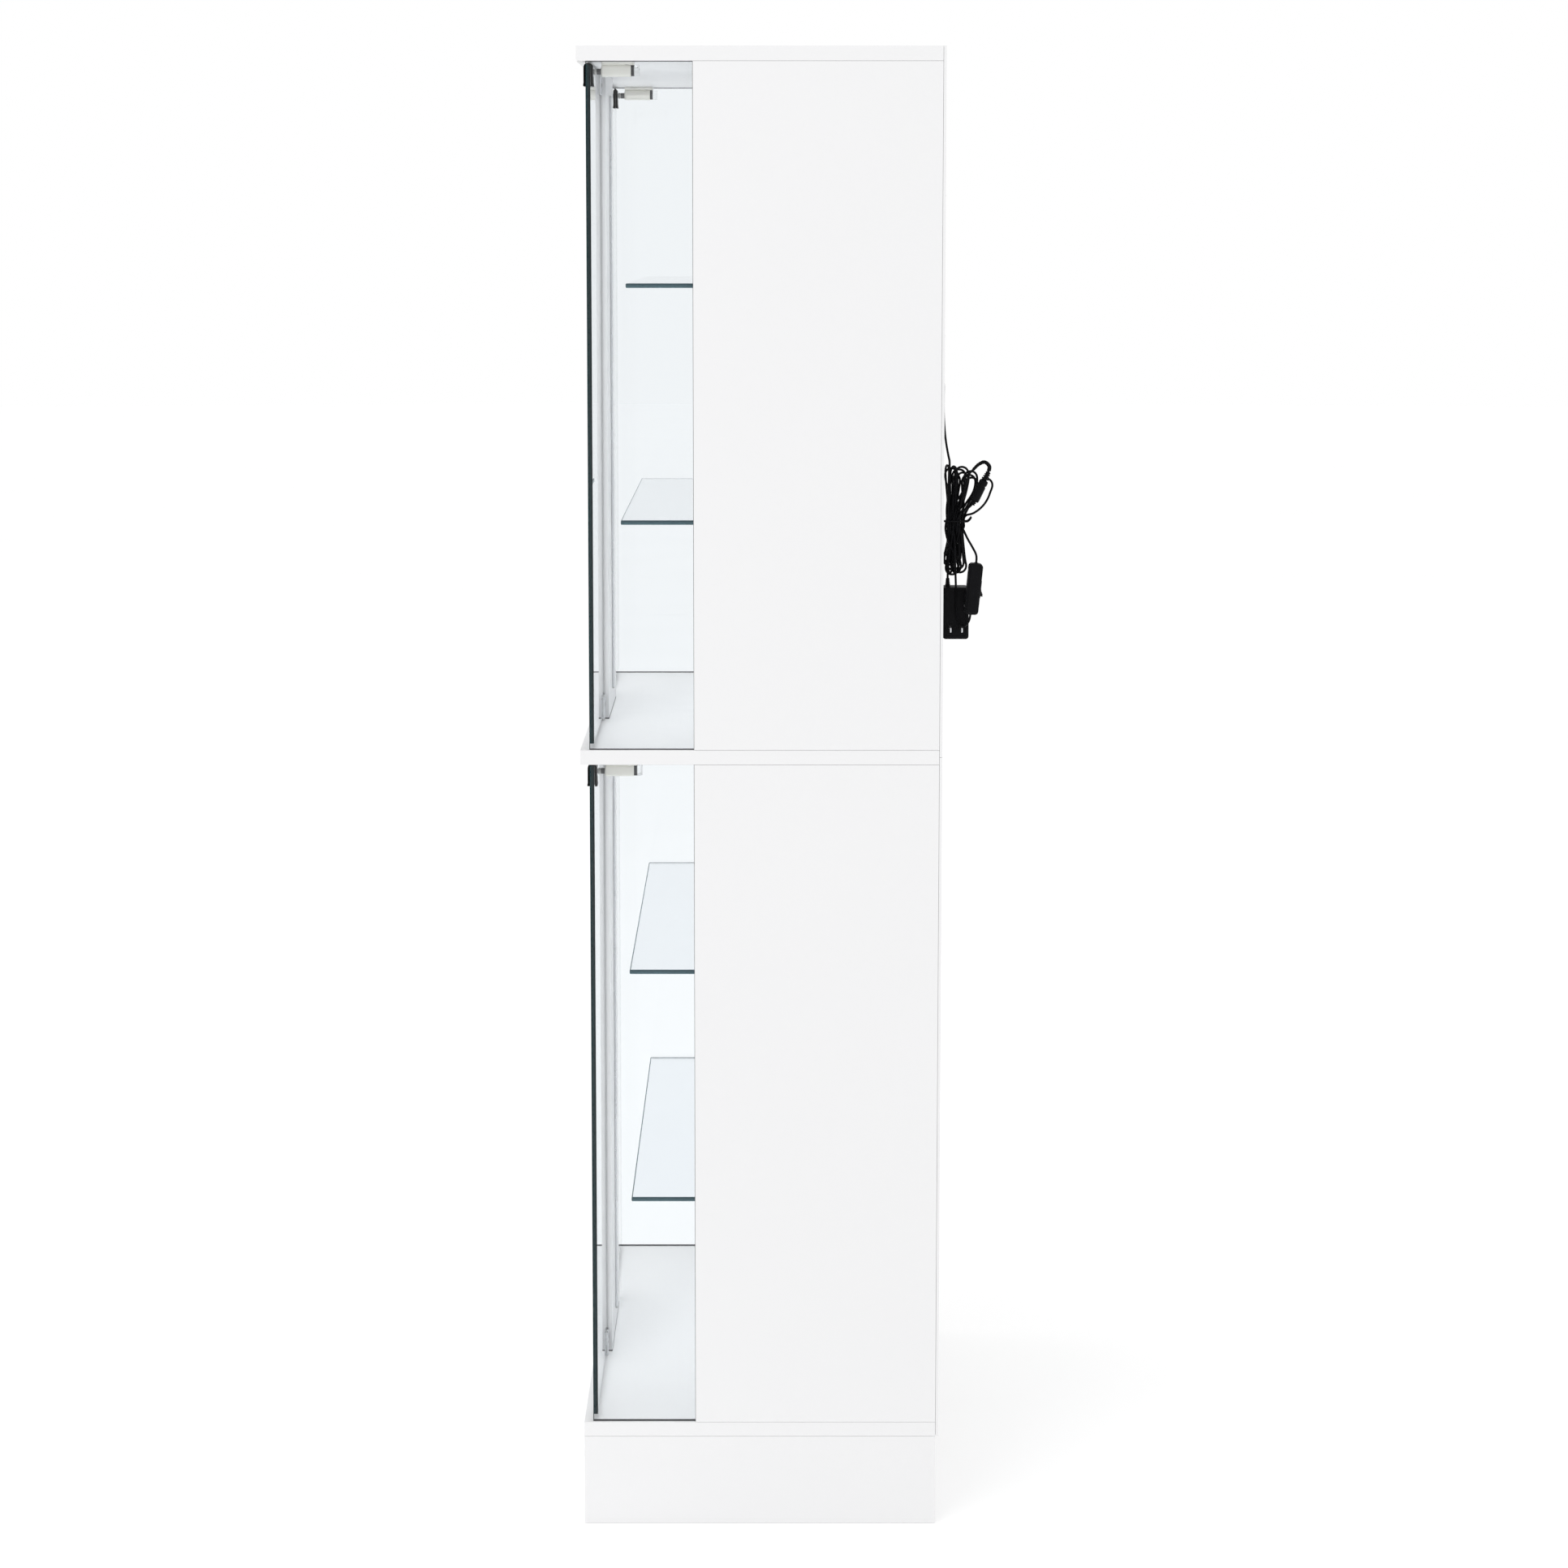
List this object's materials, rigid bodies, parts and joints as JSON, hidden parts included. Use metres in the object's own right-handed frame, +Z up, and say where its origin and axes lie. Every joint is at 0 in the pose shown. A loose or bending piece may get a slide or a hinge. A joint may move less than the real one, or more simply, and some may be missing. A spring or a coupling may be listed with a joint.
{
  "type": "curio cabinet",
  "caption": "Tall two-tier display cabinet of white board and clear glass, with pivoting glass doors on push catches, glass shelves, light bars and a tied cord set behind.",
  "frame": {"origin": "on the floor under the middle of the case", "axes": "+Z up, -Y out of the front doors, +X to the right seen from the front"},
  "size_m": [0.8, 0.4552, 1.65],
  "materials": {
    "white_laminate": "white satin laminate on board",
    "white_back_board": "white painted hardboard",
    "clear_glass": "clear float glass, polished edges",
    "satin_metal": "satin nickel",
    "black_clip": "black, slightly glossy",
    "cream_plastic": "warm white moulded plastic",
    "grey_plastic": "dark grey moulded plastic",
    "light_lens": "opal diffuser",
    "cord_jacket": "black soft vinyl",
    "black_plastic": "black textured plastic"
  },
  "bodies": {
    "cabinet": {"plinth_left": "white_laminate", "plinth_right": "white_laminate", "plinth_front": "white_laminate", "plinth_back": "white_laminate", "bottom_board": "white_laminate", "middle_board": "white_laminate", "top_board": "white_laminate", "centre_panel_lower": "white_laminate", "centre_panel_upper": "white_laminate", "side_panel_lower_left": "white_laminate", "side_panel_lower_right": "white_laminate", "side_panel_upper_left": "white_laminate", "side_panel_upper_right": "white_laminate", "back_board_lower": "white_back_board", "back_board_upper": "white_back_board", "side_glass_lower_left": "clear_glass", "side_glass_lower_right": "clear_glass", "side_glass_upper_left": "clear_glass", "side_glass_upper_right": "clear_glass", "shelf_lower_1": "clear_glass", "shelf_lower_2": "clear_glass", "shelf_upper_1": "clear_glass", "shelf_upper_2": "clear_glass", "catch_housing_lower_left": "cream_plastic", "catch_housing_lower_right": "cream_plastic", "catch_housing_upper_left": "cream_plastic", "catch_housing_upper_right": "cream_plastic", "light_bar_lower": "light_lens", "light_bar_upper": "light_lens", "cord_grommet": "cord_jacket", "cord_lead": "cord_jacket", "cord_hank": "cord_jacket", "cord_tie": "cord_jacket", "cord_to_connector": "cord_jacket", "cord_to_switch": "cord_jacket", "cord_from_switch": "cord_jacket", "dc_connector": "black_plastic", "switch_body": "black_plastic", "power_adapter": "black_plastic"},
    "door_lower_left": {"door_glass_lower_left": "clear_glass", "pivot_shoe_top_lower_left": "satin_metal", "pivot_shoe_bottom_lower_left": "satin_metal", "strike_clip_lower_left": "black_clip"},
    "door_lower_right": {"door_glass_lower_right": "clear_glass", "pivot_shoe_top_lower_right": "satin_metal", "pivot_shoe_bottom_lower_right": "satin_metal", "strike_clip_lower_right": "black_clip"},
    "door_upper_left": {"door_glass_upper_left": "clear_glass", "pivot_shoe_top_upper_left": "satin_metal", "pivot_shoe_bottom_upper_left": "satin_metal", "strike_clip_upper_left": "black_clip"},
    "door_upper_right": {"door_glass_upper_right": "clear_glass", "pivot_shoe_top_upper_right": "satin_metal", "pivot_shoe_bottom_upper_right": "satin_metal", "strike_clip_upper_right": "black_clip"},
    "plunger_lower_left": {"catch_plunger_lower_left": "grey_plastic"},
    "plunger_lower_right": {"catch_plunger_lower_right": "grey_plastic"},
    "plunger_upper_left": {"catch_plunger_upper_left": "grey_plastic"},
    "plunger_upper_right": {"catch_plunger_upper_right": "grey_plastic"},
    "rocker": {"switch_rocker": "black_plastic"}
  },
  "joints": [
    {"name": "door_lower_left_hinge", "type": "hinge", "parent": "cabinet", "child": "door_lower_left", "pos_m": [-0.125, -0.1875, 0.493], "axis": [0, 0, 1], "range_deg": [0, 110]},
    {"name": "door_lower_right_hinge", "type": "hinge", "parent": "cabinet", "child": "door_lower_right", "pos_m": [0.125, -0.1875, 0.493], "axis": [0, 0, -1], "range_deg": [0, 110]},
    {"name": "door_upper_left_hinge", "type": "hinge", "parent": "cabinet", "child": "door_upper_left", "pos_m": [-0.125, -0.1875, 1.259], "axis": [0, 0, 1], "range_deg": [0, 110]},
    {"name": "door_upper_right_hinge", "type": "hinge", "parent": "cabinet", "child": "door_upper_right", "pos_m": [0.125, -0.1875, 1.259], "axis": [0, 0, -1], "range_deg": [0, 110]},
    {"name": "plunger_lower_left_slide", "type": "slide", "parent": "cabinet", "child": "plunger_lower_left", "axis": [0, 1, 0], "range_m": [0, 0.004], "stiffness_N_per_m": 150, "springref_m": -0.003},
    {"name": "plunger_lower_right_slide", "type": "slide", "parent": "cabinet", "child": "plunger_lower_right", "axis": [0, 1, 0], "range_m": [0, 0.004], "stiffness_N_per_m": 150, "springref_m": -0.003},
    {"name": "plunger_upper_left_slide", "type": "slide", "parent": "cabinet", "child": "plunger_upper_left", "axis": [0, 1, 0], "range_m": [0, 0.004], "stiffness_N_per_m": 150, "springref_m": -0.003},
    {"name": "plunger_upper_right_slide", "type": "slide", "parent": "cabinet", "child": "plunger_upper_right", "axis": [0, 1, 0], "range_m": [0, 0.004], "stiffness_N_per_m": 150, "springref_m": -0.003},
    {"name": "rocker_tilt", "type": "hinge", "parent": "cabinet", "child": "rocker", "pos_m": [0.334, 0.24326, 1.0566], "axis": [-1, 0, 0], "range_deg": [0, 14]}
  ]
}
